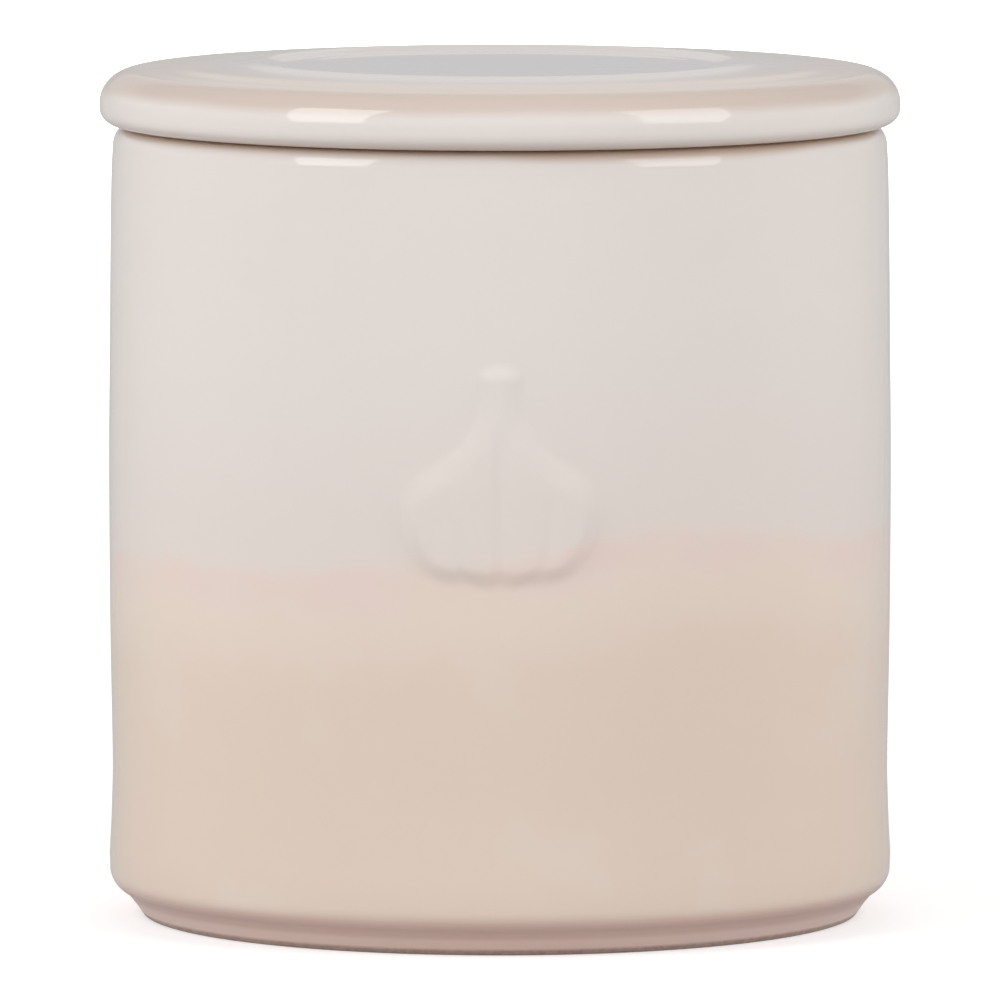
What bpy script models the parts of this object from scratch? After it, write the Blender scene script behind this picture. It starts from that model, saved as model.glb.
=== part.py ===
"""Glazed stoneware garlic keeper: a straight-sided jar with a raised garlic bulb on its front and vent
holes at its back, and a flat lid with stepped rings that lifts off.

Run it with blender --background --python part.py, or from Blender's text editor.
Lengths are in metres. The origin is the centre of the foot, on the table, +Z is up and the bulb faces -Y.
"""

import math

import bmesh
import bpy
from mathutils import Matrix, Vector

# Turning
SEGMENTS = 64
VENT_SIDES = 24
MERGE_DISTANCE = 1e-6
SMOOTH_ANGLE = math.radians(40)

# Jar
JAR_RADIUS = 0.0589
JAR_HEIGHT = 0.11915
WALL = 0.0057
FLOOR = 0.0055
INNER_FILLET = 0.0090

# Rounding at the bottom of the side, an arc that stops short of the foot
SHOULDER_TOP = 0.0071
SHOULDER_RUN = 0.0037
SHOULDER_RISE = 0.0037
SHOULDER_SWEEP = 74

# How far the side draws in from its widest circle
SIDE_DRAW = 0.0007
# Share of the way up the side, and share of the draw there
SIDE_SHARES = (
    (0.000, 0.09),
    (0.022, 0.00),
    (0.050, 0.27),
    (0.085, 0.47),
    (0.140, 0.69),
    (0.215, 0.53),
    (0.300, 0.30),
    (0.400, 0.12),
    (0.560, 0.03),
    (0.730, 0.25),
    (0.885, 0.49),
    (0.970, 0.74),
    (1.000, 1.00),
)

# Rounded edges of the lip, on which the lid sits
LIP_RUN = 0.0020
LIP_DROP = 0.0017
LIP_INNER_ROUND = 0.0010

# Foot ring
FOOT_HEIGHT = 0.0024
FOOT_STEP_IN = 0.0004
FOOT_TAPER = 0.0021
# Where the curve of the foot's outer side bends, as shares of its taper and height
FOOT_BEND_SHARES = (0.60, 0.52)
FOOT_WIDTH = 0.0042
FOOT_RECESS = 0.0020
FOOT_INNER_TAPER = 0.0012

# Lid
LID_RADIUS = 0.0602
LID_THICKNESS = 0.0080
SEAT_GAP = 0.0003
RIM_TOP_RUN = 0.0054
RIM_TOP_DROP = 0.0050
RIM_LOW_RUN = 0.0022
RIM_LOW_RISE = 0.0021
RING_RISE = 0.0013
# Share of the lid's radius, and share of the rings' rise above the rim's crest
RING_SHARES = (
    (0.000, 0.42),
    (0.505, 0.42),
    (0.535, 0.50),
    (0.572, 0.90),
    (0.592, 1.00),
    (0.610, 0.92),
    (0.640, 0.58),
    (0.657, 0.50),
    (0.680, 0.50),
    (0.700, 0.42),
    (0.748, 0.08),
    (0.770, 0.00),
)
LID_PLATE = 0.0058

# Collar under the lid, which drops into the jar's mouth
COLLAR_CLEARANCE = 0.0009
COLLAR_DEPTH = 0.0070
COLLAR_WALL = 0.0040
COLLAR_ROUND = 0.0013
COLLAR_FILLET = 0.0022

# Raised garlic bulb on the jar's front
BULB_BASE_Z = 0.0552
BULB_HEIGHT = 0.0327
BULB_HALF_WIDTH = 0.0144
BULB_RELIEF = 0.0011
BULB_LEAST_RELIEF = 0.00018
BULB_EDGE = 0.0022
BULB_ROOT = 0.0015
GROOVE_DEPTH = 0.0004
GROOVE_HALF_WIDTH = 0.0008
# Share of the bulb's height, and share of its half width there
BULB_SHARES = (
    (0.000, 0.34),
    (0.012, 0.52),
    (0.050, 0.74),
    (0.110, 0.91),
    (0.190, 0.99),
    (0.260, 1.00),
    (0.350, 0.96),
    (0.440, 0.85),
    (0.530, 0.64),
    (0.610, 0.43),
    (0.675, 0.26),
    (0.740, 0.19),
    (0.850, 0.165),
    (0.940, 0.18),
    (0.985, 0.21),
    (1.000, 0.20),
)
# Shares of the half width at which the relief is sampled, and at which its grooves lie
BULB_COLUMN_SHARES = (0.0, 0.10, 0.26, 0.40, 0.50, 0.60, 0.74, 0.86, 0.94, 1.0)
GROOVE_SHARES = (0.0, 0.50)

# Vent holes through the back, as the number of holes in each row from the lowest up
VENT_RADIUS = 0.0040
VENT_PITCH = 0.0164
VENT_ROW_RISE = 0.0142
VENT_LOW_ROW_Z = 0.0640
VENT_ROW_COUNTS = (2, 3)
VENT_OVERRUN = 0.0020

# Colours and finish of the glaze
JAR_COLOUR = (0.71, 0.62, 0.55, 1.0)
LID_COLOUR = (0.70, 0.60, 0.56, 1.0)
GLAZE_ROUGHNESS = 0.12

# Worked out from the sizes above
INNER_RADIUS = JAR_RADIUS - WALL
FLOOR_Z = FOOT_RECESS + FLOOR
SIDE_TOP_Z = JAR_HEIGHT - LIP_DROP
SEAT_Z = JAR_HEIGHT + SEAT_GAP


def arc(centre, run, rise, start, end, steps):
    """Points along an ellipse's arc in the turning plane, from start to end in degrees."""
    points = []
    for step in range(steps + 1):
        angle = math.radians(start + (end - start) * step / steps)
        points.append((centre[0] + run * math.cos(angle), centre[1] + rise * math.sin(angle)))
    return points


def bend(start, control, end, steps):
    """Points along a quadratic curve from start to end, without its first point."""
    points = []
    for step in range(1, steps + 1):
        t = step / steps
        first, second = Vector(start).lerp(control, t), Vector(control).lerp(end, t)
        points.append(tuple(first.lerp(second, t)))
    return points


def from_table(table, share):
    """The table's second value at a share, on straight lines between its rows."""
    for (low, low_value), (high, high_value) in zip(table, table[1:]):
        if share <= high:
            t = (share - low) / (high - low)
            return low_value + (high_value - low_value) * t
    return table[-1][1]


def side_radius(z):
    """Outer radius of the jar's side at a height."""
    share = (z - SHOULDER_TOP) / (SIDE_TOP_Z - SHOULDER_TOP)
    return JAR_RADIUS - SIDE_DRAW * from_table(SIDE_SHARES, max(share, 0.0))


def turned(name, outline, centre_z):
    """A solid turned about Z from an outline of (radius, height) points, with its origin at centre_z."""
    mesh = bpy.data.meshes.new(name)
    work = bmesh.new()
    points = [work.verts.new((radius, 0.0, height - centre_z)) for radius, height in outline]
    edges = [work.edges.new(pair) for pair in zip(points, points[1:])]
    bmesh.ops.spin(
        work,
        geom=points + edges,
        cent=(0.0, 0.0, 0.0),
        axis=(0.0, 0.0, 1.0),
        angle=2 * math.pi,
        steps=SEGMENTS,
        use_merge=False,
    )
    bmesh.ops.remove_doubles(work, verts=work.verts, dist=MERGE_DISTANCE)
    bmesh.ops.recalc_face_normals(work, faces=work.faces)
    work.to_mesh(mesh)
    work.free()
    mesh.shade_smooth()
    mesh.set_sharp_from_angle(angle=SMOOTH_ANGLE)
    piece = bpy.data.objects.new(name, mesh)
    piece.location = (0.0, 0.0, centre_z)
    bpy.context.scene.collection.objects.link(piece)
    return piece


def jar_outline():
    """From the middle of the underside, round the foot, up the side, over the lip and down to the floor."""
    shoulder_centre = (side_radius(SHOULDER_TOP) - SHOULDER_RUN, SHOULDER_TOP)
    shoulder = arc(shoulder_centre, SHOULDER_RUN, SHOULDER_RISE, -SHOULDER_SWEEP, 0, 5)
    foot_top = shoulder[0][0] - FOOT_STEP_IN
    foot_out = foot_top - FOOT_TAPER
    foot_in = foot_out - FOOT_WIDTH
    foot_bend = (foot_top - FOOT_TAPER * FOOT_BEND_SHARES[0], FOOT_HEIGHT * FOOT_BEND_SHARES[1])
    outline = [
        (0.0, FOOT_RECESS),
        (foot_in - FOOT_INNER_TAPER, FOOT_RECESS),
        (foot_in, 0.0),
        (foot_out, 0.0),
    ]
    outline += bend((foot_out, 0.0), foot_bend, (foot_top, FOOT_HEIGHT), 3)
    outline += shoulder
    for share, _ in SIDE_SHARES[1:-1]:
        z = SHOULDER_TOP + share * (SIDE_TOP_Z - SHOULDER_TOP)
        outline.append((side_radius(z), z))
    outline += arc((side_radius(SIDE_TOP_Z) - LIP_RUN, SIDE_TOP_Z), LIP_RUN, LIP_DROP, 0, 90, 5)
    inner_lip = (INNER_RADIUS + LIP_INNER_ROUND, JAR_HEIGHT - LIP_INNER_ROUND)
    outline += arc(inner_lip, LIP_INNER_ROUND, LIP_INNER_ROUND, 90, 180, 3)
    corner = (INNER_RADIUS - INNER_FILLET, FLOOR_Z + INNER_FILLET)
    outline += arc(corner, INNER_FILLET, INNER_FILLET, 0, -90, 5)
    outline.append((0.0, FLOOR_Z))
    return outline


def lid_outline():
    """From the middle of the top, over the rings, round the rim, in along the seat and round the collar."""
    crest_z = SEAT_Z + LID_THICKNESS
    outline = [(LID_RADIUS * share, crest_z + RING_RISE * rise) for share, rise in RING_SHARES]
    rim_top = (LID_RADIUS - RIM_TOP_RUN, crest_z - RIM_TOP_DROP)
    outline += arc(rim_top, RIM_TOP_RUN, RIM_TOP_DROP, 90, 0, 7)
    rim_low = (LID_RADIUS - RIM_LOW_RUN, SEAT_Z + RIM_LOW_RISE)
    outline += arc(rim_low, RIM_LOW_RUN, RIM_LOW_RISE, 0, -90, 4)
    collar_out = INNER_RADIUS - COLLAR_CLEARANCE
    collar_in = collar_out - COLLAR_WALL
    collar_z = SEAT_Z - COLLAR_DEPTH
    roof_z = crest_z + RING_RISE * RING_SHARES[0][1] - LID_PLATE
    outline.append((collar_out, SEAT_Z))
    outer_edge = (collar_out - COLLAR_ROUND, collar_z + COLLAR_ROUND)
    inner_edge = (collar_in + COLLAR_ROUND, collar_z + COLLAR_ROUND)
    root = (collar_in - COLLAR_FILLET, roof_z - COLLAR_FILLET)
    outline += arc(outer_edge, COLLAR_ROUND, COLLAR_ROUND, 0, -90, 3)
    outline += arc(inner_edge, COLLAR_ROUND, COLLAR_ROUND, 270, 180, 3)
    outline += arc(root, COLLAR_FILLET, COLLAR_FILLET, 0, 90, 3)
    outline.append((0.0, roof_z))
    return outline


def bulb_relief(share_up, share_out):
    """Height of the garlic bulb above the jar's side, at a share of its height and of its half width."""
    half = BULB_HALF_WIDTH * from_table(BULB_SHARES, share_up)
    inwards = half * (1 - abs(share_out))
    upwards = BULB_HEIGHT * min(share_up, 1 - share_up) + BULB_EDGE * BULB_SHARES[1][1]
    edge = min(1.0, min(inwards, upwards) / BULB_EDGE)
    crown = 1 - (1 - edge) ** 2
    across = [half * (abs(share_out) - share) / GROOVE_HALF_WIDTH for share in GROOVE_SHARES]
    groove = sum(math.exp(-(gap**2)) for gap in across)
    swell = BULB_RELIEF * crown - GROOVE_DEPTH * crown * min(1.0, groove)
    return BULB_LEAST_RELIEF + max(swell, 0.0)


def on_side(across, z, out):
    """The point at an arc length across the jar's front and a height, that far out of its side."""
    angle = across / JAR_RADIUS
    radius = side_radius(z) + out
    return Vector((radius * math.sin(angle), -radius * math.cos(angle), z))


def border(sheet):
    """The vertices round the edge of a sheet of rows, in order."""
    right_side = [row[-1] for row in sheet[1:-1]]
    left_side = [row[0] for row in sheet[-2:0:-1]]
    return sheet[0] + right_side + sheet[-1][::-1] + left_side


def bulb_solid():
    """The garlic bulb as a closed shell that reaches into the wall, to be joined to the jar."""
    columns = [-share for share in reversed(BULB_COLUMN_SHARES[1:])] + list(BULB_COLUMN_SHARES)
    mesh = bpy.data.meshes.new("garlic_bulb_relief")
    work = bmesh.new()
    front, back = [], []
    for share_up, share_wide in BULB_SHARES:
        z = BULB_BASE_Z + BULB_HEIGHT * share_up
        half = BULB_HALF_WIDTH * share_wide
        relief = [bulb_relief(share_up, c) for c in columns]
        front.append([work.verts.new(on_side(half * c, z, out)) for c, out in zip(columns, relief)])
        back.append([work.verts.new(on_side(half * c, z, -BULB_ROOT)) for c in columns])
    for sheet in (front, back):
        for low, high in zip(sheet, sheet[1:]):
            for left in range(len(columns) - 1):
                work.faces.new((low[left], low[left + 1], high[left + 1], high[left]))
    rims = list(zip(border(front), border(back)))
    for place, (outer, inner) in enumerate(rims):
        last_outer, last_inner = rims[place - 1]
        work.faces.new((last_outer, outer, inner, last_inner))
    bmesh.ops.recalc_face_normals(work, faces=work.faces)
    work.to_mesh(mesh)
    work.free()
    return helper("garlic_bulb_relief", mesh)


def helper(name, mesh):
    """An object that shapes another through a Boolean and isn't itself a part."""
    made = bpy.data.objects.new(name, mesh)
    made.hide_render = True
    made.display_type = "WIRE"
    bpy.context.scene.collection.objects.link(made)
    return made


def vent_places():
    """Where the vent holes go, as distances across the back, and heights."""
    places = []
    for row, count in enumerate(VENT_ROW_COUNTS):
        z = VENT_LOW_ROW_Z + row * VENT_ROW_RISE
        places += [((hole - (count - 1) / 2) * VENT_PITCH, z) for hole in range(count)]
    return places


def vent_cutter():
    """Rods along Y from the jar's axis out through its back wall, one for each vent hole."""
    mesh = bpy.data.meshes.new("vent_cutter")
    work = bmesh.new()
    length = JAR_RADIUS + VENT_OVERRUN
    for x, z in vent_places():
        place = Matrix.Translation((x, length / 2, z)) @ Matrix.Rotation(math.radians(90), 4, "X")
        bmesh.ops.create_cone(
            work,
            cap_ends=True,
            segments=VENT_SIDES,
            radius1=VENT_RADIUS,
            radius2=VENT_RADIUS,
            depth=length,
            matrix=place,
        )
    bmesh.ops.recalc_face_normals(work, faces=work.faces)
    work.to_mesh(mesh)
    work.free()
    return helper("vent_cutter", mesh)


def combine(piece, other, operation):
    """Adds a Boolean to a piece: UNION joins the other object to it, DIFFERENCE cuts it away."""
    modifier = piece.modifiers.new(other.name, "BOOLEAN")
    modifier.operation = operation
    modifier.object = other


def glaze(name, colour):
    """A glossy pale glaze."""
    material = bpy.data.materials.new(name)
    material.use_nodes = True
    shader = material.node_tree.nodes["Principled BSDF"]
    shader.inputs["Base Color"].default_value = colour
    shader.inputs["Roughness"].default_value = GLAZE_ROUGHNESS
    shader.inputs["Metallic"].default_value = 0.0
    return material


def build_jar():
    jar = turned("jar", jar_outline(), 0.0)
    combine(jar, bulb_solid(), "UNION")
    combine(jar, vent_cutter(), "DIFFERENCE")
    jar.data.materials.append(glaze("jar_glaze", JAR_COLOUR))
    return jar


def build_lid():
    lid = turned("lid", lid_outline(), SEAT_Z)
    lid.data.materials.append(glaze("lid_glaze", LID_COLOUR))
    return lid


def main():
    for old in list(bpy.data.objects):
        bpy.data.objects.remove(old)
    build_jar()
    build_lid()


main()
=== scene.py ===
"""Glazed stoneware garlic keeper: the fine surfaces and glazes of its jar and lid, and a plain studio.

The Garlic keeper tab in the 3D view's sidebar has a button for the jar, the lid and the studio. Lengths are
in metres, the origin is the centre of the foot, on the table, +Z is up and the raised bulb faces -Y.
"""

import math

import bmesh
import bpy
from bpy.props import FloatProperty, FloatVectorProperty, PointerProperty
from bpy.types import Operator, Panel, PropertyGroup
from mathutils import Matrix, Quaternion, Vector


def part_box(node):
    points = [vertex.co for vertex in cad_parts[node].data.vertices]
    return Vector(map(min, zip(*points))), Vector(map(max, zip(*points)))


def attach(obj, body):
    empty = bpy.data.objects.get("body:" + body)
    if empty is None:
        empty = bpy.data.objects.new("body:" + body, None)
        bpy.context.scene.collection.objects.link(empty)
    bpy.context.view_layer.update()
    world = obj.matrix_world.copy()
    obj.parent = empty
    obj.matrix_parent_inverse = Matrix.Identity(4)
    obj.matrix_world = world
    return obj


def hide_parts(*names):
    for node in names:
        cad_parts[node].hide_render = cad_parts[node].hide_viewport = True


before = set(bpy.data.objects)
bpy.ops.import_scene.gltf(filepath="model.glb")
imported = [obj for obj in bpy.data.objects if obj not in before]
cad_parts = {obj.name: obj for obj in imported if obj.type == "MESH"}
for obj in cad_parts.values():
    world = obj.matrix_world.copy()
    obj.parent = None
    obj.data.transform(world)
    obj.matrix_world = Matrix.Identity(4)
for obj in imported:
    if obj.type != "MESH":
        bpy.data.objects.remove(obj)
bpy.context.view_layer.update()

bl_info = {
    "name": "Garlic Keeper",
    "version": (1, 0, 0),
    "blender": (4, 5, 0),
    "location": "View3D > Sidebar > Garlic keeper",
    "description": "Makes a glazed stoneware garlic keeper with a lift-off lid, and a plain studio for it",
    "category": "Add Mesh",
}

JAR_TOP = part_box("jar")[1]
LID_LOW, LID_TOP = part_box("lid")

# How closely the surfaces are divided
TURN_STEP = math.radians(1.25)
FINE_STEP = 0.0006
SIDE_STEP = 0.0022
RING_STEP = 0.0004
# A stretch of an outline longer than the second gets a point this near to each of its ends
SUPPORT = 0.0004
LONG_STRETCH = 0.0030
# Steps round each curve of an outline
SHOULDER_STEPS = 14
FOOT_SIDE_STEPS = 20
LIP_STEPS = 12
FLOOR_FILLET_STEPS = 14
RIM_TOP_STEPS = 20
RIM_LOW_STEPS = 10
SMALL_ROUND_STEPS = 8
CORNER_STEPS = 4

# Rounding at the bottom of the jar's side
SHOULDER_TOP = 0.0071
SHOULDER_RUN = 0.0037
SHOULDER_RISE = 0.0037
SHOULDER_SWEEP = math.radians(62)

# How far the side draws in from its widest circle, by share of the way up it
SIDE_DRAW = 0.0007
SIDE_SHARES = (
    (0.000, 0.09),
    (0.022, 0.00),
    (0.050, 0.27),
    (0.085, 0.47),
    (0.140, 0.69),
    (0.215, 0.53),
    (0.300, 0.30),
    (0.400, 0.12),
    (0.560, 0.03),
    (0.730, 0.25),
    (0.885, 0.49),
    (0.970, 0.74),
    (1.000, 1.00),
)

# Lip, floor and foot ring of the jar
LIP_RUN = 0.0025
LIP_DROP = 0.0031
LIP_INNER_ROUND = 0.0010
INNER_FILLET = 0.0090
FOOT_TAPER = 0.0023
FOOT_INNER_TAPER = 0.0012
FOOT_ROUND = 0.0004
RECESS_ROUND = 0.0008

# Rounded rim of the lid, and the collar under it
RIM_TOP_RUN = 0.0054
RIM_TOP_DROP = 0.0050
RIM_LOW_RUN = 0.0027
RIM_LOW_RISE = 0.0025
COLLAR_DEPTH = 0.0068
COLLAR_ROUND = 0.0013
COLLAR_FILLET = 0.0022
COLLAR_ROOT = 0.0006
# Heights of the brown band on the lip, of that band where it is wide, and of the tint under the lid's rim.
# These are partly glaze that thins there and partly painted shade where lid and jar meet; the wide part of
# the lip band is painted shade alone
LIP_BROWN_AND_SHADE = 0.0014
WIDE_LIP_PAINTED_SHADE = 0.0023
RIM_BROWN_AND_SHADE = 0.0018
RIM_BROWN_AND_SHADE_WEIGHT = 0.9

# Stepped rings on the lid, by share of its radius, as shares of their rise above the rim's crest
RING_SHARES = (
    (0.000, 0.42),
    (0.505, 0.42),
    (0.535, 0.48),
    (0.572, 0.82),
    (0.598, 1.00),
    (0.620, 0.92),
    (0.660, 0.70),
    (0.700, 0.60),
    (0.740, 0.53),
    (0.780, 0.45),
    (0.835, 0.21),
    (0.870, 0.12),
    (0.919, -0.02),
)
# Angle of the lid's rounded rim, in degrees, at which the slope from the rings meets it
RIM_START = 84
# Shares of the lid's radius where pearl starts to turn to light peach and has done so, and then to peach
PEACH_SHARES = (0.64, 0.82, 0.88, 0.97)
# Depths under the rim's crest between which the pearl edge gives way to the colours of the top
PEARL_EDGE = (0.0038, 0.0018)
# Cream glaze under the lid: how far past the collar it ends, and the shares of the thickness where it does
CREAM_PAST_COLLAR = 0.0025
CREAM_UP_SHARES = (0.5, 0.7)
# Heights over the collar's lower end between which its bare clay ends
BARE_COLLAR = (0.0002, 0.0006)
# Waves in the lid's glaze, as a share of those in the jar's
LID_WAVES = 0.35

# Raised garlic bulb: half its width by share of the way up it
BULB_BASE_Z = 0.0547
BULB_HEIGHT = 0.0332
BULB_HALF_WIDTH = 0.0154
BULB_SHARES = (
    (0.000, 0.290),
    (0.015, 0.500),
    (0.055, 0.690),
    (0.095, 0.780),
    (0.133, 0.850),
    (0.188, 0.915),
    (0.241, 0.955),
    (0.312, 0.985),
    (0.383, 0.990),
    (0.448, 0.950),
    (0.501, 0.875),
    (0.540, 0.755),
    (0.575, 0.615),
    (0.610, 0.490),
    (0.646, 0.400),
    (0.681, 0.345),
    (0.725, 0.280),
    (0.765, 0.232),
    (0.810, 0.213),
    (0.880, 0.205),
    (0.940, 0.225),
    (0.980, 0.210),
    (1.000, 0.150),
)
# Width of its sloping edges, at the sides by share of the way up, along the bottom and on top of the stem
BULB_EDGES = (
    (0.000, 0.0024),
    (0.200, 0.0026),
    (0.350, 0.0031),
    (0.440, 0.0044),
    (0.500, 0.0044),
    (0.540, 0.0039),
    (0.580, 0.0033),
    (0.660, 0.0027),
    (0.800, 0.0019),
    (1.000, 0.0019),
)
BULB_LOW_EDGE = 0.0027
BULB_TOP_EDGE = 0.0022
# Room round the bulb that its fine steps cover too
BULB_MARGIN = 0.0040
# How far sloping edges blend at a corner, and the share of a slope that curves at either end
BULB_CORNER = 0.7
SLOPE_CURVE = 0.22
# The cloves, how much higher their lower edge lies between them, and the grooves that part them
CLOVES = 4
SCALLOP = 0.0006
GROOVE_DEPTH = 0.0003
GROOVE_HALF_WIDTH = 0.0008
SIDE_GROOVE_SHARE = 0.55
# Shares of the way up between which the cloves' grooves give way to the stem's, and the stem's own shares
STEM_START = 0.60
STEM_FULL = 0.74
STEM_GROOVE_SHARE = 0.50
STEM_RISE_SHARE = 0.90

# Vent holes through the back, as the number of holes in each row from the lowest up
VENT_PITCH = 0.0164
VENT_ROW_RISE = 0.0142
VENT_LOW_ROW_Z = 0.0640
VENT_ROW_COUNTS = (2, 3)
VENT_ROUND = 0.0009
VENT_MARGIN = 0.0010
# Steps from the surface round a vent to its edge, over that round edge, and through the wall
PATCH_STEPS = 4
ROUND_STEPS = 5
BORE_STEPS = 4

# How much higher the fade lies right of the bulb than left of it, and the share of that at the right edge
FADE_CLIMB = 0.0055
FADE_EDGE_SHARE = 0.6
# Places across the front, from its middle, between which the fade climbs, and sinks again at the right
FADE_CLIMBS = (-0.025, 0.025)
FADE_SINKS = (0.035, 0.055)
# Places across the front between which the brown band on the lip widens with painted shade, and narrows again
# at the right
LIP_SHADE_WIDENS = (-0.006, 0.012)
LIP_SHADE_NARROWS = (0.036, 0.052)
BAND_INNER_WIDTH = 0.002
# Heights between which peach turns to light peach, and the height where low pearl has turned to pearl
PEACH_HEIGHTS = (0.037, 0.050)
PEARL_HEIGHT = 0.095
# Depths under the fade between which its pink tint comes and goes
BLUSH_COMES = (-0.001, 0.0005)
BLUSH_GOES = (0.0025, 0.008)
# Shares of the shoulder's height and of the foot's between which the glaze thins to rose, and to rose brown,
# which is darker to also paint the shade on the shoulder's underside
ROSE_SHARES = (0.62, 0.90)
ROSE_BROWN_AND_SHADE_SHARES = (0.6, 0.9)
ROSE_WEIGHT = 0.95
# Cream glaze inside: distances out past the inner wall between which it ends, and the shares of the floor's
# height between which it starts
CREAM_ENDS = (0.0008, 0.0028)
CREAM_FLOOR_SHARES = (0.5, 0.8)
# Heights over the table between which the foot's bare clay ends; this dark clay also paints the contact
# shadow along the table
BARE_FOOT_AND_CONTACT_SHADE = (0.0006, 0.0012)
# How dull the thinnest glaze is beside bare clay, and the roughness that bare clay adds
THIN_DULL_SHARE = 0.6
BARE_ROUGHNESS = 0.6

# Drifts of a colour's edge: size of their patches, reach to either side
SLOW_DRIFT = (0.030, 0.0016)
QUICK_DRIFT = (0.007, 0.0009)
LID_DRIFT = (0.026, 0.0003)
DRIFT_GAIN = 4
# Clouds in the glazes and the clay: size of their patches, detail, offset
BLUSH_CLOUD = (0.021, 2.0, 3.1)
CREAM_CLOUD = (0.026, 3.0, 7.7)
CLAY_CLOUD = (0.0009, 3.0)
GLOSS_CLOUD = (0.011, 2.0)
WAVE_CLOUD = (0.009, 1.0)
PEEL_CLOUD = (0.0016, 1.0)
GRAIN_CLOUD = (0.0005, 2.0)
# Levels of a cloud between which it changes something, and then the shares that it changes from and to
BLUSH_LEVELS = (0.35, 0.65, 0.15, 0.85)
CREAM_LEVELS = (0.48, 0.72, 0.0, 0.28)
CLAY_LEVELS = (0.35, 0.7)
GLOSS_LEVELS = (0.3, 0.7)

# Lamps, edge card, floor, sky and lens of the studio
LEFT_SOFTBOX_SIZE = (0.47, 0.95)
RIGHT_SOFTBOX_SIZE = (0.55, 0.95)
SOFTBOX_AWAY = 1.2
FILL_SIZE = (1.6, 1.2)
FILL_AWAY = 2.2
FILL_TURN = math.radians(60)
FILL_RISE = math.radians(12)
CARD_HOLE = 0.0545
CARD_SIDES = 72
FLOOR_CLEARANCE = 0.0008
FLOOR_SIDES = 96
SENSOR_WIDTH = 36
FAR_END = 60
# Distances from the keeper's axis between which the floor fills up to white
FLOOR_FILLS = (0.08, 1.00)
# Shares of straight up between which the sky grows to overhead, and its bright low band comes and goes
SKY_GROWS = (0.12, 0.45)
LOW_SKY_COMES = (0.09, 0.16)
LOW_SKY_GOES = (0.30, 0.42)


def glaze_colour(red, green, blue):
    """A colour as a screen shows it, 0 to 255 a channel, as the linear colour that a shader takes."""
    channels = [value / 255 for value in (red, green, blue)]
    linear = [c / 12.92 if c <= 0.04045 else ((c + 0.055) / 1.055) ** 2.4 for c in channels]
    return (*linear, 1.0)


def arc(centre, run, rise, start, end, steps):
    """Points along an ellipse's arc in the turning plane, from start to end in degrees."""
    points = []
    for step in range(steps + 1):
        angle = math.radians(start + (end - start) * step / steps)
        points.append((centre[0] + run * math.cos(angle), centre[1] + rise * math.sin(angle)))
    return points


def bend(start, control, end, steps):
    """Points along a quadratic curve from start to end."""
    points = []
    for step in range(steps + 1):
        t = step / steps
        first, second = Vector(start).lerp(control, t), Vector(control).lerp(end, t)
        points.append(tuple(first.lerp(second, t)))
    return points


def rounded(before, corner, after, radius):
    """An outline's corner as a small curve that starts and ends a radius away from it."""
    corner = Vector(corner)
    start = corner + (Vector(before) - corner).normalized() * radius
    end = corner + (Vector(after) - corner).normalized() * radius
    return bend(start, corner, end, CORNER_STEPS)


def eased(table, share):
    """The table's second value at a share, on a smooth curve that never overshoots the table's rows."""
    share = min(max(share, table[0][0]), table[-1][0])
    place = next(row for row in range(len(table) - 1) if share <= table[row + 1][0])
    slopes = [(b[1] - a[1]) / (b[0] - a[0]) for a, b in zip(table, table[1:])]
    leans = []
    for row in (place, place + 1):
        before, after = slopes[max(row - 1, 0)], slopes[min(row, len(slopes) - 1)]
        leans.append(0.0 if before * after <= 0 else 2 * before * after / (before + after))
    (low, low_value), (high, high_value) = table[place], table[place + 1]
    width = high - low
    t = (share - low) / width
    values = (2 * t**3 - 3 * t**2 + 1) * low_value + (3 * t**2 - 2 * t**3) * high_value
    return values + width * ((t**3 - 2 * t**2 + t) * leans[0] + (t**3 - t**2) * leans[1])


def soft_step(value):
    """From 0 to 1 along a straight slope with short curves into it and out of it."""
    value = min(max(value, 0.0), 1.0)
    near = min(value, 1 - value)
    if near < SLOPE_CURVE:
        rise = near * near / (2 * SLOPE_CURVE * (1 - SLOPE_CURVE))
    else:
        rise = (near - SLOPE_CURVE / 2) / (1 - SLOPE_CURVE)
    return rise if value < 0.5 else 1 - rise


def soft_least(first, second, corner):
    """The smaller of two values, with the change from one to the other rounded off."""
    overlap = max(corner - abs(first - second), 0.0) / corner
    return min(first, second) - overlap * overlap * corner / 4


def supported(outline):
    """The outline with a point near each end of its long stretches, so that they look flat when shaded."""
    points = [outline[0]]
    for start, end in zip(outline, outline[1:]):
        length = (Vector(end) - Vector(start)).length
        if length > LONG_STRETCH:
            points.append(tuple(Vector(start).lerp(end, SUPPORT / length)))
            points.append(tuple(Vector(end).lerp(start, SUPPORT / length)))
        points.append(end)
    return points


def turned_rings(work, outline, angles):
    """A ring of vertices about Z for each point of the outline. On the axis it is one vertex, repeated."""
    rings = []
    for radius, z in outline:
        if radius == 0:
            rings.append([work.verts.new((0.0, 0.0, z))] * len(angles))
        else:
            places = [(radius * math.sin(angle), -radius * math.cos(angle), z) for angle in angles]
            rings.append([work.verts.new(place) for place in places])
    return rings


def skin(work, rings, left_out=frozenset()):
    """Faces between neighbouring rings, but for the cells that are left out for holes."""
    for row, (near, far) in enumerate(zip(rings, rings[1:])):
        for column in range(len(near)):
            if (row, column) not in left_out:
                following = (column + 1) % len(near)
                corners = (near[column], near[following], far[following], far[column])
                work.faces.new(list(dict.fromkeys(corners)))


def finish_piece(name, work, material, body):
    """The piece made of these faces. It rides on its body, and stands for the body's one CAD node."""
    bmesh.ops.recalc_face_normals(work, faces=work.faces)
    mesh = bpy.data.meshes.new(name)
    work.to_mesh(mesh)
    work.free()
    mesh.shade_smooth()
    mesh.materials.append(material)
    piece = bpy.data.objects.new(name, mesh)
    bpy.context.scene.collection.objects.link(piece)
    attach(piece, body)
    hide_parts(body)


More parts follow.
